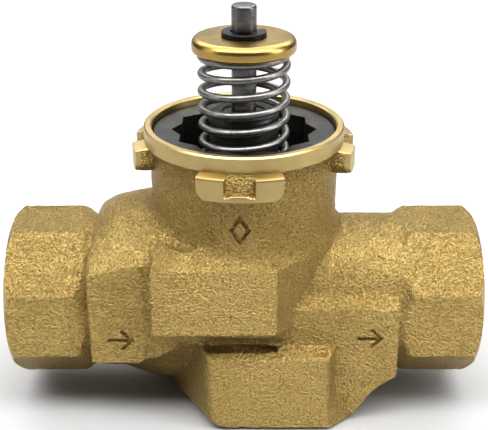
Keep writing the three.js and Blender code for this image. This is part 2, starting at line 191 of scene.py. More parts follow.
class Nodes:
    """Short calls for building one material's nodes, in the object's own coordinates."""

    def __init__(self, name):
        self.material = bpy.data.materials.new(name)
        self.material.use_nodes = True
        self.tree = self.material.node_tree
        self.shader = self.tree.nodes["Principled BSDF"]
        coordinates = self.tree.nodes.new("ShaderNodeTexCoord")
        self.place = coordinates.outputs["Object"]

    def link(self, source, socket):
        self.tree.links.new(source, socket)

    def noise(self, scale, detail=3.0, roughness=0.5, place=None):
        node = self.tree.nodes.new("ShaderNodeTexNoise")
        node.inputs["Scale"].default_value = scale
        node.inputs["Detail"].default_value = detail
        node.inputs["Roughness"].default_value = roughness
        self.link(place or self.place, node.inputs["Vector"])
        return node.outputs["Fac"]

    def stretched(self, scale):
        node = self.tree.nodes.new("ShaderNodeMapping")
        node.inputs["Scale"].default_value = scale
        self.link(self.place, node.inputs["Vector"])
        return node.outputs["Vector"]

    def spread(self, value, low, high, start=0.0, end=1.0):
        node = self.tree.nodes.new("ShaderNodeMapRange")
        self.link(value, node.inputs["Value"])
        node.inputs["From Min"].default_value = low
        node.inputs["From Max"].default_value = high
        node.inputs["To Min"].default_value = start
        node.inputs["To Max"].default_value = end
        return node.outputs["Result"]

    def mix(self, factor, first, second):
        node = self.tree.nodes.new("ShaderNodeMix")
        node.data_type = "RGBA"
        self.link(factor, node.inputs["Factor"])
        for value, socket in ((first, "A"), (second, "B")):
            target = [s for s in node.inputs if s.name == socket and s.type == "RGBA"][0]
            if isinstance(value, tuple):
                target.default_value = (*value, 1)
            else:
                self.link(value, target)
        return [s for s in node.outputs if s.type == "RGBA"][0]

    def bump(self, height, distance, strength=1.0, normal=None):
        node = self.tree.nodes.new("ShaderNodeBump")
        node.inputs["Distance"].default_value = distance
        node.inputs["Strength"].default_value = strength
        self.link(height, node.inputs["Height"])
        if normal is not None:
            self.link(normal, node.inputs["Normal"])
        return node.outputs["Normal"]

    def finish(self, color=None, roughness=None, normal=None, metallic=0.0):
        self.shader.inputs["Metallic"].default_value = metallic
        for value, socket in ((color, "Base Color"), (roughness, "Roughness"), (normal, "Normal")):
            if value is None:
                continue
            if isinstance(value, tuple):
                self.shader.inputs[socket].default_value = (*value, 1)
            elif isinstance(value, float):
                self.shader.inputs[socket].default_value = value
            else:
                self.link(value, self.shader.inputs[socket])
        return self.material


def plain_material(name, color, roughness):
    """One even colour."""
    return Nodes(name).finish(color=color, roughness=roughness)


def cast_brass():
    """Shot-blasted casting: crisp grain, painted shade that makes pits darker than peaks, and
    slightly blotchy colour.
    """
    darker_tone, lighter_tone = (0.43, 0.30, 0.098), (0.49, 0.35, 0.122)
    # Painted shade: the darker colour given to the pits, the low points of the grain's bump.
    painted_pit_shade = (0.27, 0.18, 0.055)
    blotch_scale, grain_scale, fine_scale = 60, 2100, 4300
    grain_height, fine_height = 1.8 * MM, 0.5 * MM
    n = Nodes("cast_brass")
    blotch = n.spread(n.noise(blotch_scale, 4), 0.35, 0.65)
    grain = n.noise(grain_scale, 2, 0.7)
    fine = n.noise(fine_scale, 2)
    tone = n.mix(blotch, darker_tone, lighter_tone)
    # Painted shade: where the grain's bump is low the colour goes to the dark pit colour.
    color = n.mix(n.spread(grain, 0.38, 0.55), painted_pit_shade, tone)
    rough = n.spread(fine, 0.3, 0.7, 0.27, 0.36)
    normal = n.bump(grain, grain_height, 1.0)
    normal = n.bump(fine, fine_height, 0.9, normal)
    return n.finish(color, rough, normal, 1.0)


# Noise scale that draws fine rings round the Z axis, and the height of the rings.
LATHE_RINGS = (150, 150, 6000)
RING_HEIGHT = 0.02 * MM


def turned_brass(name="turned_brass", base=(0.62, 0.45, 0.19), shine=(0.22, 0.34)):
    """Lathe-turned brass with faint rings along the axis and soft stains."""
    stain_scale, stain_tone = 160, 0.82
    n = Nodes(name)
    rings = n.noise(1.0, 2, 0.6, n.stretched(LATHE_RINGS))
    stain = n.spread(n.noise(stain_scale, 4), 0.4, 0.7)
    color = n.mix(stain, base, tuple(stain_tone * c for c in base))
    rough = n.spread(rings, 0.3, 0.7, *shine)
    return n.finish(color, rough, n.bump(rings, RING_HEIGHT, 0.5), 1.0)


def grey_steel(name, base, shine):
    """Turned steel with faint rings and darker specks. The shine is a range of roughness."""
    speck_scale, speck_tone = 900, 0.6
    n = Nodes(name)
    rings = n.noise(1.0, 2, 0.6, n.stretched(LATHE_RINGS))
    speck = n.spread(n.noise(speck_scale, 3), 0.45, 0.75)
    color = n.mix(speck, base, tuple(speck_tone * c for c in base))
    rough = n.spread(rings, 0.3, 0.7, *shine)
    return n.finish(color, rough, n.bump(rings, RING_HEIGHT, 0.6), 1.0)


def black_moulding(name, tones, shine, texture_scale, tone_scale, height):
    """Finely textured black plastic or rubber. The shine is a range of roughness."""
    n = Nodes(name)
    texture = n.noise(texture_scale, 3)
    color = n.mix(n.noise(tone_scale, 3), *tones)
    rough = n.spread(texture, 0.3, 0.7, *shine)
    return n.finish(color, rough, n.bump(texture, height, 0.5))


def black_plastic():
    tones = (0.010, 0.010, 0.012), (0.018, 0.018, 0.020)
    return black_moulding("black_plastic", tones, (0.35, 0.5), 2500, 300, 0.03 * MM)


def black_rubber():
    tones = (0.012, 0.012, 0.012), (0.02, 0.02, 0.02)
    return black_moulding("seal_rubber", tones, (0.55, 0.75), 3500, 500, 0.02 * MM)


# ------------------------------------------------------------------ casting, as a distance field


def polygon_distance(points, u, v):
    """Signed distance to a closed polygon, negative inside, on two broadcast axes."""
    u, v = np.broadcast_arrays(u, v)
    nearest = np.full(u.shape, 1e9, np.float32)
    inside = np.zeros(u.shape, bool)
    for (u0, v0), (u1, v1) in zip(points, points[1:] + points[:1]):
        du, dv = u1 - u0, v1 - v0
        share = np.clip(((u - u0) * du + (v - v0) * dv) / (du * du + dv * dv), 0, 1)
        nearest = np.minimum(nearest, np.hypot(u - u0 - share * du, v - v0 - share * dv))
        if dv:
            crosses = (v0 > v) != (v1 > v)
            inside ^= crosses & (u < u0 + du * (v - v0) / dv)
    return np.where(inside, -nearest, nearest).astype(np.float32)


def joined(a, b, fillet):
    """Union with a concave fillet."""
    return np.maximum(fillet, np.minimum(a, b)) - np.hypot(
        np.maximum(fillet - a, 0), np.maximum(fillet - b, 0)
    )


def common(a, b, edge):
    """Intersection with a rounded convex edge."""
    return np.minimum(-edge, np.maximum(a, b)) + np.hypot(
        np.maximum(edge + a, 0), np.maximum(edge + b, 0)
    )


def upright_face(across, forward, normal):
    """Signed distance to an upright plane, from offsets along X and outward from the middle."""
    return normal[0] * across + normal[1] * forward


def mirrored(points):
    """A plan outline with its copy on the other side of the X axis."""
    return points + [(x, -y) for x, y in reversed(points)]


def octagon_points():
    """(y, z) corners of a pipe end's octagon, with a flat on top."""
    turns = [math.pi / 8 + i * math.pi / 4 for i in range(8)]
    return [
        (OCTAGON_CORNER * math.cos(t), RUN_HEIGHT + OCTAGON_CORNER * math.sin(t)) for t in turns
    ]


def barrel_field(x, from_run):
    """The round barrel, a little narrower where it meets the octagon at port A."""
    half_length, waist_depth, waist_start = 36, 0.9, 30
    radius = RUN_RADIUS - waist_depth * np.clip(-waist_start - x, 0, 1)
    return common(from_run - radius, np.abs(x) - half_length, 0.5)


def pipe_ends_field(x, y, z, from_run):
    """Both octagonal ends. Their backs are conical, so that the corners start further out."""
    reach = np.abs(x)
    back, cone_radius, cone_slope = 31.0, 15.5, 0.77
    flats = polygon_distance(octagon_points(), y, z)
    cone = (from_run - cone_radius - cone_slope * (reach - back)) / math.hypot(1, cone_slope)
    ends = common(common(flats, cone, 0.25), back - reach, 0.3)
    return common(ends, reach - HALF_LENGTH - END_STOCK, 0.2)


def shoulder_a_field(x, depth, z):
    """The A side: flat plates front and back, under an arch that climbs to the neck."""
    left, right, top = -31, 4, 48
    outline = [(left, 13.8), (-21.5, 13.8), (-17, 15.4), (-12.0, 18.6), (-9, 18.2), (-7.5, 16),
               (right, 16), (right, top), (left, top)]
    shoulder = polygon_distance(outline, x, z)
    rise = math.radians(11)
    arch_centre, arch_radius, arch_lift = 17.0, 25.0, 1.4
    crown_drop, crown_start, crown_length = 2.6, -25.5, 5.5
    up = (z - arch_centre) * math.cos(rise) - (x - left) * math.sin(rise)
    crown = np.clip(1 - (depth / SLAB_DEPTH) ** 2, 0, 1)
    up = up + crown_drop * crown * np.clip((crown_start - x) / crown_length, 0, 1) ** 2
    arch = np.hypot(depth, np.maximum(up + arch_lift, 0)) - arch_radius
    shoulder = common(shoulder, arch, 0.7)
    shoulder = common(shoulder, depth - SLAB_DEPTH, 0.25)
    groove_place, groove_radius, groove_offset = -19.1, 2.2, 1.9
    groove = groove_radius - np.hypot(x - groove_place, depth - SLAB_DEPTH - groove_offset)
    return np.maximum(shoulder, groove)


def plate_b_outline(x, z):
    """Side view of the B side: a plate with a flat foot that climbs to the pipe end."""
    right, top = 31.2, 28.8
    outline = [(-6, 18), (-2, 0), (20.6, 0), (22.9, 1.6), (25.4, 5.3), (28, 8.4), (right, 10.6),
               (right, top), (-6, top)]
    return polygon_distance(outline, x, z)


def side_b_field(x, depth, z):
    """The B side: flat plates front and back, under a sloping shelf."""
    shelf_slope, shelf_edge = 0.92, 26.0
    shelf = ((depth - SLAB_DEPTH) * shelf_slope + (z - shelf_edge)) / math.hypot(shelf_slope, 1)
    side = common(plate_b_outline(x, z), shelf, 0.2)
    return common(side, depth - SLAB_DEPTH, 0.3)


def bulge_field(x, y, z):
    """The lower chamber's swelling under the A side, narrower than it is deep."""
    narrowing, depth_scale, right_end = 1.4, 1.08, -8
    places = [-30, -26, -22.5, -18, -14, -8, 40]
    half_heights = [15.5, 16.3, 17.6, 19.0, 19.4, 19.6, 19.6]
    half_height = np.interp(x, places, half_heights).astype(np.float32)
    bulge = np.hypot(narrowing * y, z - RUN_HEIGHT) - depth_scale * half_height
    bulge = common(bulge, x - right_end, 1.0)
    return common(bulge, z - RUN_HEIGHT, 1.0)


def upper_block_field(x, y, z):
    """The block under the neck: a flat front, a slanted right side and a sloping ledge."""
    depth = np.abs(y)
    left, corner, right, right_depth = -18, 6.3, 19.8, 4.9
    middle, half_height, ledge_edge = 31.0, 8.4, 36.8
    plan = [(left, UPPER_DEPTH), (corner, UPPER_DEPTH), (right, right_depth)]
    block = common(polygon_distance(mirrored(plan), x, y), np.abs(z - middle) - half_height, 0.35)
    flattest, extra_slope, change_length = 0.2, 0.5, 6
    slant_slope, slant_rise, slope_scale = 0.64, 0.06, 0.8
    in_front = depth - UPPER_DEPTH
    steepness = flattest + extra_slope * np.clip((x - left) / change_length, 0, 1)
    front_ledge = in_front * steepness + (z - ledge_edge)
    from_slant = upright_face(x - corner, in_front, (0.776, 0.631))
    slant_ledge = from_slant * slant_slope + z - ledge_edge - slant_rise * (x - corner)
    return common(block, np.maximum(front_ledge, slant_ledge) * slope_scale, 0.15)


def lower_block_field(x, depth, z):
    """The block that the valve stands on: a slanted left side and a sloping foot at the right."""
    slant_corner, left_end, right_corner, foot_corner, foot_lean = -7, -16.4, 17.2, 17.8, 0.3
    in_front = depth - LOWER_DEPTH
    slanted = upright_face(x - slant_corner, in_front, (-0.862, 0.506))
    right_end = upright_face(x - right_corner, in_front, (0.939, 0.343))
    foot = upright_face(x - foot_corner, in_front, (0.627, 0.78)) + foot_lean * z
    right_end = joined(right_end, np.maximum(foot, plate_b_outline(x, z)), 1.0)
    block = common(np.maximum(slanted, left_end - x), -z, 3.2)
    block = np.maximum(block, right_end)
    block = common(block, np.maximum(in_front, -z), 0.9)
    ledge_slope, ledge_edge, back_top = 0.55, 16.5, 18.1
    ledge = (z - ledge_edge + ledge_slope * in_front) / math.hypot(1, ledge_slope)
    return common(block, np.maximum(ledge, z - back_top), 0.3)


def slot_field(x, depth, z):
    """The shallow slot between the two blocks, which fades out to the right."""
    left, right, fade = -7.8, 9, 4
    centre_depth, centre_height, radius = 18.0, 17.4, 0.98
    fading_radius = radius * np.clip((right - x) / fade, 0, 1)
    slot = np.hypot(depth - centre_depth, z - centre_height) - fading_radius
    return np.maximum(slot, left - x)


def casting_field(x, y, z):
    """Signed distance to the as-cast outside, before machining. Each join has its own fillet."""
    neck_middle, neck_half_height = 39, 18.5
    from_run = np.hypot(y, z - RUN_HEIGHT)
    depth = np.abs(y)
    neck = common(np.hypot(x, y) - NECK_RADIUS, np.abs(z - neck_middle) - neck_half_height, 0.3)
    body = joined(barrel_field(x, from_run), shoulder_a_field(x, depth, z), 0.8)
    body = joined(body, bulge_field(x, y, z), 0.4)
    body = joined(body, side_b_field(x, depth, z), 0.45)
    body = joined(body, lower_block_field(x, depth, z), 0.6)
    body = np.maximum(body, -slot_field(x, depth, z))
    body = joined(body, upper_block_field(x, y, z), 0.8)
    body = joined(body, neck, 1.8)
    return joined(body, pipe_ends_field(x, y, z, from_run), 0.5)


def field_mesh(name, voxel):
    """Meshes the casting's field. It is worked out for the front half and mirrored."""
    margin = 3 * voxel
    half_length, half_depth, top = HALF_LENGTH + END_STOCK, 22.5, 58
    x = np.arange(-half_length - margin, half_length + margin, voxel, dtype=np.float32)
    half = np.arange(0, half_depth + margin, voxel, dtype=np.float32)
    z = np.arange(-margin, top + margin, voxel, dtype=np.float32)
    field = casting_field(x[:, None, None], -half[None, :, None], z[None, None, :])
    field = np.concatenate([field[:, :0:-1, :], field], axis=1).astype(np.float32)
    field += unevenness(field.shape, voxel)
    grid = openvdb.FloatGrid()
    grid.background = margin
    grid.copyFromArray(np.clip(field, -margin, margin))
    points, quads = grid.convertToQuads()
    origin = np.array([x[0], -half[-1], z[0]])
    return mesh_object(name, points * voxel + origin, quads.tolist())


# Wavelength and height of each layer of the cast faces' waviness.
WAVES = ((4.0, 0.05), (1.6, 0.035), (0.6, 0.028))
WAVES_SEED = 11


def unevenness(shape, voxel):
    """Smooth seeded noise that gives the cast faces a slight waviness."""
    random = np.random.default_rng(WAVES_SEED)
    total = np.zeros(shape, np.float32)
    for wavelength, height in WAVES:
        step = max(1, round(wavelength / voxel / 2))
        coarse_shape = [s // step + 3 for s in shape]
        wave = random.standard_normal(coarse_shape).astype(np.float32)
        for axis, size in enumerate(shape):
            place = np.arange(size) / step
            low = place.astype(int)
            share = (place - low).astype(np.float32)
            share = share * share * (3 - 2 * share)
            blend_shape = [1, 1, 1]
            blend_shape[axis] = size
            share = share.reshape(blend_shape)
            wave = np.take(wave, low, axis) * (1 - share) + np.take(wave, low + 1, axis) * share
        total += height * wave
    return total


# ------------------------------------------------------------------ meshes


def mesh_object(name, points_mm, faces):
    """A new mesh in the scene, from points in millimetres."""
    mesh = bpy.data.meshes.new(name)
    mesh.from_pydata((np.asarray(points_mm, float) * MM).tolist(), [], faces)
    mesh.validate()
    made = bpy.data.objects.new(name, mesh)
    bpy.context.scene.collection.objects.link(made)
    return made


def even_angles(count):
    return [2 * math.pi * i / count for i in range(count)]


def revolved(name, profile_at, angles):
    """Sweeps a closed profile of (radius, height) points round Z. It may change with the angle."""
    rows = [profile_at(angle) for angle in angles]
    width = len(rows[0])
    points = [
        (radius * math.cos(angle), radius * math.sin(angle), height)
        for angle, row in zip(angles, rows)
        for radius, height in row
    ]
    faces = []
    for row in range(len(rows)):
        following = (row + 1) % len(rows)
        for column in range(width):
            beside = (column + 1) % width
            faces.append((
                row * width + column,
                following * width + column,
                following * width + beside,
                row * width + beside,
            ))
    made = mesh_object(name, points, faces)
    tidy(made)
    return made


def tidy(made):
    """Merges points that meet, drops faces with no area and points the normals out."""
    shortest = 0.0005 * MM
    edit = bmesh.new()
    edit.from_mesh(made.data)
    bmesh.ops.remove_doubles(edit, verts=edit.verts, dist=shortest)
    bmesh.ops.dissolve_degenerate(edit, edges=edit.edges, dist=shortest)
    loose = [edge for edge in edit.edges if not edge.link_faces]
    bmesh.ops.delete(edit, geom=loose, context="EDGES")
    bmesh.ops.recalc_face_normals(edit, faces=edit.faces)
    if edit.calc_volume(signed=True) < 0:
        bmesh.ops.reverse_faces(edit, faces=edit.faces)
    edit.to_mesh(made.data)
    edit.free()


def rounded_profile(corners, steps=4):
    """A closed outline of (radius, height, fillet) corners with each fillet drawn as an arc."""
    points = []
    count = len(corners)
    for index, (radius, height, fillet) in enumerate(corners):
        here = Vector((radius, height))
        before = Vector(corners[index - 1][:2]) - here
        after = Vector(corners[(index + 1) % count][:2]) - here
        if fillet <= 0:
            points.append((radius, height))
            continue
        half = before.angle(after) / 2
        longest = 0.49 * min(before.length, after.length)
        reach = min(fillet / math.tan(half), longest)
        start = here + before.normalized() * reach
        end = here + after.normalized() * reach
        middle = (before.normalized() + after.normalized()).normalized()
        centre = here + middle * (reach / math.cos(half))
        for step in range(steps + 1):
            toward = start.lerp(end, step / steps) - centre
            point = centre + toward.normalized() * (start - centre).length
            points.append((point.x, point.y))
    return points


def turned(name, corners, segments=96, steps=4):
    """A round piece from (radius, height, fillet) corners."""
    profile = rounded_profile(corners, steps)
    return revolved(name, lambda angle: profile, even_angles(segments))


def turn_to_run(made, side):
    """Lays a piece turned about Z along the pipe's axis, facing +X (side 1) or -X (side -1)."""
    made.data.transform(Matrix.Rotation(side * math.pi / 2, 4, "Y"))
    made.data.transform(Matrix.Translation((0, 0, RUN_HEIGHT * MM)))
    return made


def machine(made, tool, operation="DIFFERENCE"):
    """Cuts the tool away from the piece, or joins it on, and removes the tool."""
    modifier = made.modifiers.new("machine", "BOOLEAN")
    modifier.object = tool
    modifier.operation = operation
    modifier.solver = "MANIFOLD"
    graph = bpy.context.evaluated_depsgraph_get()
    mesh = bpy.data.meshes.new_from_object(made.evaluated_get(graph))
    made.modifiers.clear()
    if len(mesh.polygons) == 0:
        raise RuntimeError(f"the cut by {tool.name} left nothing of {made.name}")
    made.data = mesh
    bpy.data.objects.remove(tool)


def shade(made, angle=35):
    """Smooth shading, with sharp edges where faces meet at more than the angle in degrees."""
    for polygon in made.data.polygons:
        polygon.use_smooth = True
    made.data.set_sharp_from_angle(angle=math.radians(angle))


def settle(made, body, slot, material, *nodes):
    """Gives a piece its body and material, and lets it stand for its CAD nodes. The slot is not
    used.
    """
    if len(made.data.materials) == 0:
        made.data.materials.append(material)
    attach(made, body)
    if nodes:
        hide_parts(*nodes)
    return made


# ------------------------------------------------------------------ valve body


def smooth_step(value):
    """Eases from 0 to 1 as the value goes from 0 to 1."""
    value = min(max(value, 0.0), 1.0)
    return value * value * (3 - 2 * value)


LUG_RADIUS = 22.4
LUG_TOP = 56.5
LUG_BOTTOM = 51.1
LUG_FOOT = 51.8
LUG_TURN = math.radians(-2.1) - math.pi / 2
LUG_HALF_WIDTH = math.radians(22.6) * LUG_RADIUS
LUG_RAMP = 0.6
NOTCH_HALF_WIDTH = 2.8
NOTCH_RADIUS = 21.3
NOTCH_FLOOR = 52.4
# The collar's blank starts inside the casting, so that only the lugs and band stand out.
SUNK_RADIUS = NECK_RADIUS - 0.5


def lug_outline(across, height):
    """Signed distance inside a lug's outline on the unrolled collar, with round lower corners."""
    lower_corner, upper_corner, corner_change = 2.8, 0.4, 53.6
    corner = lower_corner if height < corner_change else upper_corner
    half_height = (LUG_TOP - LUG_BOTTOM) / 2
    du = abs(across) - (LUG_HALF_WIDTH - corner)
    dv = abs(height - (LUG_TOP + LUG_BOTTOM) / 2) - (half_height - corner)
    outside = math.hypot(max(du, 0), max(dv, 0))
    return outside + min(max(du, dv), 0) - corner


def lug_face_radius(height):
    """Outer radius of a lug, which slopes in below its foot and rounds off at its top."""
    foot_slope, top_ease, top_slope = 0.5, 0.45, 1.3
    radius = LUG_RADIUS
    if height < LUG_FOOT:
        radius -= (LUG_FOOT - height) * foot_slope
    if height > LUG_TOP - top_ease:
        radius -= (height - LUG_TOP + top_ease) * top_slope
    return radius


def notch_share(across, height):
    """How far a lug's face is cut back to the notch's floor: 1 in the notch and 0 outside it."""
    edge, bow = 0.5, 0.5
    share = smooth_step((NOTCH_HALF_WIDTH + edge / 2 - abs(across)) / edge)
    bend = math.cos(min(abs(across) / NOTCH_HALF_WIDTH, 1) * math.pi / 2)
    return share * smooth_step((height - (NOTCH_FLOOR + bow * bend)) / edge)


def band_radius(height):
    """Outer radius of the turned band, with a small chamfer at the rim."""
    under_slope, rim_chamfer = 0.5, 0.3
    radius = BAND_RADIUS - under_slope * max(0, BAND_BOTTOM - height)
    if height > RIM_TOP - rim_chamfer:
        radius -= (height - RIM_TOP + rim_chamfer)
    return radius


def collar_radius(angle, height):
    """Radius of the collar's outside: the turned band over four notched lugs."""
    quarter = math.pi / 2
    offset = (angle - LUG_TURN + quarter / 2) % quarter - quarter / 2
    across = offset * LUG_RADIUS
    radius = SUNK_RADIUS
    inside = -lug_outline(across, height)
    if inside > 0:
        ramp = math.sqrt(max(0.0, 1 - (1 - min(inside / LUG_RAMP, 1)) ** 2))
        radius = SUNK_RADIUS + (lug_face_radius(height) - SUNK_RADIUS) * ramp
        radius -= notch_share(across, height) * (radius - min(radius, NOTCH_RADIUS))
    band_start = BAND_BOTTOM - 0.35
    if height > band_start:
        radius = max(radius if height <= LUG_TOP else 0, band_radius(height))
    return radius


def collar_heights():
    """Heights of the collar's rings, close together at the lugs' round lower corners."""
    fine_start, fine_step = 50.9, 0.11
    heights = [49.8, 50.4]
    heights += [fine_start + fine_step * i for i in range(25)]
    heights += [54.2, 54.6, 55.0, 55.5, 55.8, 56.0, 56.1, 56.2, 56.3, 56.4, 56.45]
    heights += [LUG_TOP, LUG_TOP + 0.02, 56.9, 57.5, 58.3, RIM_TOP - 0.6]
    heights += [RIM_TOP - 0.3, RIM_TOP - 0.15, RIM_TOP]
    return heights


def collar_angles():
    """Angles round the collar, close together where a lug or notch ends."""
    ends = LUG_HALF_WIDTH / LUG_RADIUS
    notch = NOTCH_HALF_WIDTH / LUG_RADIUS
    fine_step = 0.0045
    close = [ends + i * fine_step for i in range(-30, 4)]
    close += [notch + i * fine_step for i in range(-4, 5)]
    open_stretch = [0.0, 0.04, 0.08]
    open_stretch += [notch + 0.05 * i for i in range(1, 4)]
    open_stretch += [ends + 0.06 * i for i in range(1, 7)]
    one_side = sorted(set(close + open_stretch))
    offsets = sorted({-a for a in one_side} | set(one_side))
    angles = []
    for lug in range(4):
        angles += [LUG_TURN + lug * math.pi / 2 + offset for offset in offsets]
    return sorted({round(a % (2 * math.pi), 6) for a in angles})


def collar():
    """The band and its lugs as one ring, to be joined to the casting."""
    heights = collar_heights()
    inner = 17.6

    def profile(angle):
        outside = [(collar_radius(angle, h), h) for h in heights]
        return [(inner, heights[0]), *outside, (inner, RIM_TOP)]

    return revolved("collar_blank", profile, collar_angles())


def thread_tap(side):
    """A tap for one port: the thread's space, with a helical groove that starts at the mouth."""
    steps_per_turn, extra_steps = 14, 4
    crest_share, flank_share = 0.12, 0.76
    runout_start, runout_length, mouth_chamfer = 1.0, 2.0, 1.5
    step = THREAD_PITCH / steps_per_turn
    start = HALF_LENGTH - PORT_DEPTH
    count = math.ceil((HALF_LENGTH - start) / step) + extra_steps

    def radius(angle, along):
        phase = ((along / THREAD_PITCH) - side * angle / (2 * math.pi)) % 1.0
        ridge = abs(2 * phase - 1)
        flank = min(max((ridge - crest_share) / flank_share, 0), 1)
        fade = smooth_step((along - start - runout_start) / runout_length)
        groove = THREAD_DEPTH * flank * fade
        mouth = max(0.0, (along - (HALF_LENGTH - mouth_chamfer)))
        return THREAD_MINOR + max(groove, mouth)

    def profile(angle):
        wall = [(radius(angle, start + i * step), start + i * step) for i in range(count)]
        return [(0, start), *wall, (0, start + (count - 1) * step)]

    return turn_to_run(revolved("tap", profile, even_angles(96)), side)


def end_cutter(side):
    """Faces a pipe end and turns the chamfer round its outer edge."""
    face, back, front = HALF_LENGTH, HALF_LENGTH - END_CHAMFER_LENGTH, HALF_LENGTH + 5
    chamfer_radius, outside = END_FACE_RADIUS + END_CHAMFER_RISE, 26
    corners = [
        (0, face, 0), (END_FACE_RADIUS, face, 0), (chamfer_radius, back, 0),
        (outside, back, 0), (outside, front, 0), (0, front, 0),
    ]
    return turn_to_run(turned("end_cutter", corners, 128), side)


def stem_bore():
    """The space round the stem: lower chamber, seat, upper chamber, nut thread and counterbore."""
    corners = [
        (0, 3, 0), (12.2, 3, 1), (12.2, 17.5, 0), (11.7, 17.5, 0), (11.7, 22, 0), (14, 24, 0),
        (14, 40, 0), (15.9, 40, 0), (15.9, 45, 0), (16.6, 45, 0),
        (16.6, COUNTERBORE_BOTTOM, 0), (COUNTERBORE_RADIUS, COUNTERBORE_BOTTOM, 0),
        (COUNTERBORE_RADIUS, RIM_TOP - 0.25, 0), (COUNTERBORE_RADIUS + 0.3, RIM_TOP + 0.05, 0),
        (COUNTERBORE_RADIUS + 0.3, RIM_TOP + 2, 0), (0, RIM_TOP + 2, 0),
    ]
    return turned("stem_bore", corners, 128)


# Radius, and the (x, z) of both ends, of the passage from each port to its chamber.
PASSAGES = ((8, (-36, 22.5), (-4, 30)), (7, (36, 20.2), (4, 9.8)))


def passage(radius, start, end):
    """A slanted round cutter between two (x, z) points in the middle plane."""
    length = math.hypot(end[0] - start[0], end[1] - start[1])
    tool = turned("passage", [(0, 0, 0), (radius, 0, 0), (radius, length, 0), (0, length, 0)], 64)
    lean = math.atan2(end[0] - start[0], end[1] - start[1])
    tool.data.transform(Matrix.Rotation(lean, 4, "Y"))
    tool.data.transform(Matrix.Translation((start[0] * MM, 0, start[1] * MM)))
    return tool


def stroke(start, end, floor_y):
    """A straight engraved line between two (x, z) points, cut into the front down to floor_y."""
    tool_depth = 2.5
    start, end = Vector(start), Vector(end)
    along = (end - start).normalized() * STROKE_WIDTH / 2
    beside = Vector((-along.y, along.x))
    outline = [start - along - beside, end + along - beside, end + along + beside,
               start - along + beside]
    points = [(p.x, y, p.y) for y in (floor_y - tool_depth, floor_y) for p in outline]
    faces = [(0, 1, 2, 3), (7, 6, 5, 4), (0, 4, 5, 1), (1, 5, 6, 2), (2, 6, 7, 3), (3, 7, 4, 0)]
    made = mesh_object("stroke", points, faces)
    tidy(made)
    return made


def engrave_marks(made):
    """Plain marks: a flow arrow on each side plate and a diamond on the neck."""
    plate_floor = -SLAB_DEPTH + 0.4
    neck_floor = -NECK_RADIUS + 0.45
    half_arrow, barb_start, barb_height = 2.2, 0.5, 1.9
    lines = []
    for middle, height in ((-24.8, 19.4), (25.3, 19.8)):
        tip = (middle + half_arrow, height)
        lines.append(((middle - half_arrow, height), tip, plate_floor))
        lines.append(((middle + barb_start, height + barb_height), tip, plate_floor))
        lines.append(((middle + barb_start, height - barb_height), tip, plate_floor))
    left, top, right, low = (-2.4, 44.5), (-0.75, 47), (0.9, 44.5), (-0.75, 42)
    for start, end in ((left, top), (top, right), (right, low), (low, left)):
        lines.append((start, end, neck_floor))
    for line in lines:
        machine(made, stroke(*line))


def mark_machined(made, cast, machined):
    """Gives turned faces the machined material: ends, ports, bores, rim and the lugs' faces."""
    made.data.materials.clear()
    made.data.materials.append(cast)
    made.data.materials.append(machined)
    count = len(made.data.polygons)
    centre = np.zeros(count * 3, np.float32)
    normal = np.zeros(count * 3, np.float32)
    made.data.polygons.foreach_get("center", centre)
    made.data.polygons.foreach_get("normal", normal)
    x, y, z = (centre.reshape(-1, 3) / MM).T
    nx, _, nz = normal.reshape(-1, 3).T
    from_run = np.hypot(y, z - RUN_HEIGHT)
    from_stem = np.hypot(x, y)
    reach = np.abs(x)
    near_end, port_wall, bore_wall, lug_wall = 44, 13.7, 16.7, 21.55
    chamfer = END_FACE_RADIUS + (HALF_LENGTH - reach) * END_CHAMFER_RISE / END_CHAMFER_LENGTH
    ends = reach > HALF_LENGTH - 0.02
    ends |= (reach > near_end) & (np.abs(from_run - chamfer) < 0.03) & (np.abs(nx) > 0.5)
    ports = (reach > HALF_LENGTH - PORT_DEPTH - 0.1) & (from_run < port_wall)
    band = (z > BAND_BOTTOM + 0.1) & (from_stem > 17)
    bores = (z > 39.5) & (from_stem < bore_wall)
    bores |= (z > COUNTERBORE_BOTTOM - 0.1) & (from_stem < COUNTERBORE_RADIUS + 0.4)
    lug_faces = (z > LUG_BOTTOM) & (z < LUG_TOP) & (from_stem > lug_wall) & (nz > -0.75)
    lug_faces |= (np.abs(z - LUG_TOP) < 0.35) & (from_stem > BAND_RADIUS + 0.05)
    quarter = math.pi / 2
    angle = (np.arctan2(y, x) - LUG_TURN + quarter / 2) % quarter - quarter / 2
    in_notch = np.abs(angle * LUG_RADIUS) < NOTCH_HALF_WIDTH - 0.1
    lug_faces &= ~(in_notch & (from_stem < LUG_RADIUS - 0.2))
    machined_faces = ends | ports | band | bores | lug_faces
    made.data.polygons.foreach_set("material_index", machined_faces.astype(np.int32))


def valve_body():
    """The casting with its collar, machined ends, threads and chambers."""
    voxel, sharp_angle = 0.32, 32
    body = field_mesh("valve_body_casting", voxel)
    machine(body, collar(), "UNION")
    machine(body, stem_bore())
    for side in (-1, 1):
        machine(body, end_cutter(side))
        machine(body, thread_tap(side))
    for radius, start, end in PASSAGES:
        machine(body, passage(radius, start, end))
    engrave_marks(body)
    machined = turned_brass("machined_brass", (0.46, 0.345, 0.145), (0.3, 0.42))
    mark_machined(body, cast_brass(), machined)
    shade(body, sharp_angle)
    return settle(body, "housing", "cast_brass", None, "valve_body")


# ------------------------------------------------------------------ nut and bonnet


def star_radius(angle):
    """Inner outline of the twelve-point socket: the outer edges of two crossed hexagons."""
    corner_radius = 14.5
    flat = corner_radius * math.cos(math.pi / 6)
    sector = math.pi / 6
    offset = abs((angle + sector / 2) % sector - sector / 2)
    return flat / math.cos(math.pi / 6 - offset)


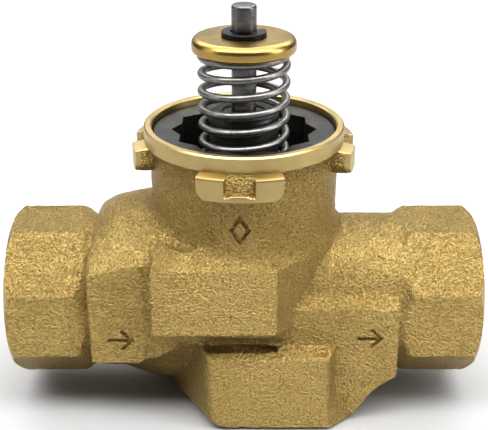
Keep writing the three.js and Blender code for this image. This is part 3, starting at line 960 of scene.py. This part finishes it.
def retaining_nut():
    """A ring with a flange that rests in the counterbore and a twelve-point socket."""
    bottom, top = NUT_LOW[2], NUT_HIGH[2]
    thread, flange, flange_bottom = 16.3, 18.2, 56.1

    def profile(angle):
        inner = star_radius(angle)
        return [
            (inner, bottom), (thread - 0.5, bottom), (thread, bottom + 0.5),
            (thread, flange_bottom), (flange - 0.2, flange_bottom),
            (flange, flange_bottom + 0.2), (flange, top - 0.2), (flange - 0.15, top),
            (inner + 0.25, top), (inner + 0.06, top - 0.08), (inner, top - 0.25),
        ]

    steps_between = 6
    count = 24 * steps_between
    nut = revolved("retaining_nut_turned", profile, even_angles(count))
    shade(nut, 25)
    return settle(nut, "housing", "nut_steel", MATERIALS["nut_steel"], "retaining_nut")


def bonnet():
    """A disc with a seal groove in its edge, the spring's floor and a tall hub round the stem."""
    bottom, top = BONNET_LOW[2], BONNET_HIGH[2]
    outside, groove, groove_low, groove_high = 15.5, 13.7, 42.2, 44.3
    floor, hub, foot, stem_hole = 45, 7.0, 4.5, 2.9
    corners = [
        (foot, bottom, 0), (outside, bottom, 0.2), (outside, groove_low, 0),
        (groove, groove_low, 0), (groove, groove_high, 0), (outside, groove_high, 0),
        (outside, floor, 0.2), (hub + 0.6, floor, 1.0), (hub, 52, 0.5), (hub, top, 0.9),
        (4.4, top, 0.2), (4.4, 55, 0), (stem_hole, 55, 0), (stem_hole, 47, 0), (foot, 47, 0),
    ]
    made = turned("bonnet_moulding", corners, 96)
    shade(made)
    return settle(made, "housing", "black_plastic", MATERIALS["black_plastic"], "bonnet")


# ------------------------------------------------------------------ spring, cap, clip and stem


def return_spring():
    """Round wire in a right-handed helix with closed ends."""
    wire, coil, turns = 0.78, 8.4, 8.5
    end_turns, end_rise = 0.5, 0.5
    start_angle = math.radians(191.9)
    low, high = SPRING_LOW[2] + wire, SPRING_HIGH[2] - wire
    open_turns = turns - 2 * end_turns
    open_rise = high - low - 2 * end_rise
    sides, steps = 14, 480
    points = []
    for step in range(steps + 1):
        turn = turns * step / steps
        height = low + end_rise * min(turn / end_turns, 1)
        height += open_rise * min(max((turn - end_turns) / open_turns, 0), 1)
        height += end_rise * min(max((turn - end_turns - open_turns) / end_turns, 0), 1)
        angle = 2 * math.pi * turn + start_angle
        for side in range(sides):
            around = 2 * math.pi * side / sides
            radius = coil + wire * math.cos(around)
            up = height + wire * math.sin(around)
            points.append((radius * math.cos(angle), radius * math.sin(angle), up))
    faces = []
    for step in range(steps):
        for side in range(sides):
            here, beside = step * sides + side, step * sides + (side + 1) % sides
            faces.append((here, here + sides, beside + sides, beside))
    faces.append(tuple(range(sides)))
    faces.append(tuple(steps * sides + side for side in reversed(range(sides))))
    made = mesh_object("return_spring_wire", points, faces)
    tidy(made)
    shade(made, 60)
    settle(made, "housing", "spring_steel", MATERIALS["spring_steel"], "return_spring")
    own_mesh(made)
    return made


def spring_cap():
    """Pressed cap: a flat top that rolls down into a rounded rim, with a boss inside the spring."""
    boss_bottom, top = CAP_LOW[2], CAP_HIGH[2]
    edge = CAP_HIGH[0]
    hole, boss, rim, seat, lip = 2.55, 7.1, 9.0, 74.65, 74.2
    corners = [
        (hole, boss_bottom, 0.1), (boss, boss_bottom, 0.3), (boss, seat, 0), (rim, seat, 0),
        (rim, lip, 0.1), (edge, lip, 1.35), (edge, top, 1.75), (hole, top, 0.15),
    ]
    made = turned("spring_cap_turned", corners, 128, 10)
    shade(made, 40)
    return settle(made, "stem_assembly", "turned_brass", MATERIALS["cap_brass"], "spring_cap")


def stem_clip():
    """E-shaped clip: a ring with an open mouth and three inner prongs that grip the groove."""
    bottom, top = CLIP_LOW[2], CLIP_HIGH[2]
    mouth = math.radians(50)
    half_mouth = math.radians(27)
    start, end = mouth + half_mouth, mouth + 2 * math.pi - half_mouth
    ring_inner, prong_length, prong_sharpness, outer = 2.65, 0.6, 8, 4.4
    steps, ease = 96, 0.12
    points = []
    for step in range(steps + 1):
        angle = start + (end - start) * step / steps
        prong = max(math.cos(1.5 * (angle - mouth - math.pi)) ** prong_sharpness, 0)
        inner = ring_inner - prong_length * prong
        section = (
            (inner, bottom), (outer - ease, bottom), (outer, bottom + ease), (outer, top - ease),
            (outer - ease, top), (inner + ease, top), (inner, top - ease),
        )
        points += [(r * math.cos(angle), r * math.sin(angle), height) for r, height in section]
    width = len(section)
    faces = []
    for row in range(steps):
        for column in range(width):
            here, beside = row * width + column, row * width + (column + 1) % width
            faces.append((here, here + width, beside + width, beside))
    faces.append(tuple(range(width)))
    faces.append(tuple(steps * width + column for column in reversed(range(width))))
    made = mesh_object("stem_clip_pressed", points, faces)
    tidy(made)
    shade(made, 30)
    return settle(made, "stem_assembly", "black_steel", MATERIALS["black_steel"], "stem_clip")


def stem():
    """The stem, thinner below the shoulder that holds the disc, with a groove for the clip."""
    bottom, top = STEM_LOW[2], STEM_HIGH[2]
    radius, foot, shoulder, groove = 2.45, 2.0, 17.4, 1.9
    low, high = CLIP_LOW[2] - 0.05, CLIP_HIGH[2] + 0.05
    corners = [
        (0, bottom, 0), (foot - 0.4, bottom, 0), (foot, bottom + 0.4, 0), (foot, shoulder, 0),
        (radius, shoulder, 0.1), (radius, low, 0.05), (groove, low, 0), (groove, high, 0),
        (radius, high, 0.05), (radius, top, 0.55), (0, top, 0),
    ]
    made = turned("stem_ground", corners, 64, 5)
    shade(made, 40)
    return settle(made, "stem_assembly", "stem_steel", MATERIALS["stem_steel"], "stem")


# ------------------------------------------------------------------ everything


add_camera()
add_stage()
MATERIALS = {
    "nut_steel": grey_steel("nut_steel", (0.045, 0.043, 0.041), (0.4, 0.52)),
    "stem_steel": grey_steel("stem_steel", (0.13, 0.128, 0.124), (0.25, 0.36)),
    "spring_steel": grey_steel("spring_steel", (0.22, 0.216, 0.205), (0.34, 0.44)),
    "black_steel": grey_steel("black_steel", (0.02, 0.02, 0.024), (0.35, 0.5)),
    "cap_brass": turned_brass("cap_brass", (0.40, 0.265, 0.074), (0.24, 0.34)),
    "turned_brass": turned_brass(),
    "bush_bronze": turned_brass("bush_bronze", (0.42, 0.24, 0.09), (0.35, 0.5)),
    "black_plastic": black_plastic(),
    "seal_rubber": black_rubber(),
}

valve_body()
retaining_nut()
bonnet()
return_spring()
spring_cap()
stem_clip()
stem()

remade = {
    "valve_body", "retaining_nut", "bonnet", "return_spring", "spring_cap", "stem_clip", "stem",
}
slots = {part["node"]: part["material_slot"] for part in frame["record"]["subparts"]}
for name, node in frame["nodes"].items():
    if name not in remade:
        node.data.materials.clear()
        node.data.materials.append(MATERIALS[slots[name]])
